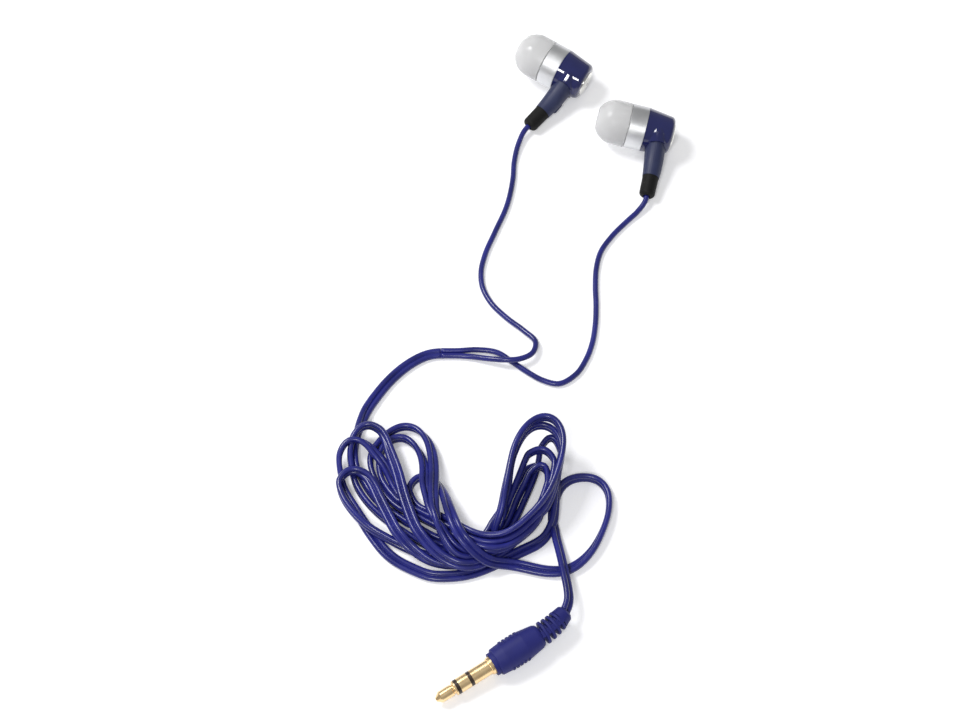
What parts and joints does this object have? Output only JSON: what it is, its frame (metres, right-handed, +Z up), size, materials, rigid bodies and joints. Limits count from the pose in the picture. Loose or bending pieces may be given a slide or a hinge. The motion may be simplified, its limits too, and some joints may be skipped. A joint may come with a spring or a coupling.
{
  "type": "wired earphones",
  "caption": "In-ear earphones on a twin cord: silicone tips, aluminium rings, plastic housings with curved stems, and a straight stereo plug.",
  "frame": {"origin": "on the surface the earphones lie on, under the middle of the box round the two earpieces", "axes": "+Z up from the surface, +X to the right and +Y away from the user, with the plug at the -Y end"},
  "size_m": [0.084, 0.184, 0.0125],
  "materials": {
    "silicone": "milky translucent silicone",
    "aluminium": "fine bead-blasted and clear anodised",
    "silver_cap": "bright turned",
    "navy_gloss": "glossy moulded ABS",
    "navy_abs": "moulded ABS",
    "navy_satin": "satin moulded ABS",
    "black_rubber": "soft moulded rubber",
    "steel": "plain steel",
    "magnet_alloy": "nickel plated",
    "copper": "enamelled copper wire",
    "film": "thin clear film",
    "driver_plastic": "moulded engineering plastic",
    "board": "solder-masked board",
    "gilt_brass": "gold flashed turned brass",
    "insulator": "moulded insulator",
    "blue_pvc": "soft moulded PVC",
    "cord_pvc": "extruded PVC cord"
  },
  "bodies": {
    "root": {"left_front_ring": "aluminium", "left_nozzle": "navy_abs", "left_nozzle_mesh": "steel", "left_diaphragm": "film", "left_voice_coil": "copper", "left_pole_plate": "steel", "left_magnet": "magnet_alloy", "left_yoke": "steel", "left_driver_frame": "driver_plastic", "left_terminal_board": "board", "left_rear_housing": "navy_gloss", "left_rear_disc": "silver_cap", "left_stem": "navy_satin", "left_cable_boot": "black_rubber", "right_front_ring": "aluminium", "right_nozzle": "navy_abs", "right_nozzle_mesh": "steel", "right_diaphragm": "film", "right_voice_coil": "copper", "right_pole_plate": "steel", "right_magnet": "magnet_alloy", "right_yoke": "steel", "right_driver_frame": "driver_plastic", "right_terminal_board": "board", "right_rear_housing": "navy_gloss", "right_rear_disc": "silver_cap", "right_stem": "navy_satin", "right_cable_boot": "black_rubber", "plug_tip": "gilt_brass", "plug_front_insulator": "insulator", "plug_ring": "gilt_brass", "plug_rear_insulator": "insulator", "plug_sleeve": "gilt_brass", "plug_core": "driver_plastic", "plug_barrel": "blue_pvc", "left_leg_cord": "cord_pvc", "right_leg_cord": "cord_pvc", "cord_lead": "cord_pvc", "cord_hank": "cord_pvc", "cord_tail": "cord_pvc"},
    "left_tip": {"left_ear_tip": "silicone"},
    "right_tip": {"right_ear_tip": "silicone"}
  },
  "joints": [
    {"name": "left_tip_pull", "type": "slide", "parent": "root", "child": "left_tip", "axis": [-0.8586, 0.4957, 0.1305], "range_m": [0, 0.008]},
    {"name": "right_tip_pull", "type": "slide", "parent": "root", "child": "right_tip", "axis": [-0.9698, 0.2061, 0.1305], "range_m": [0, 0.008]}
  ]
}
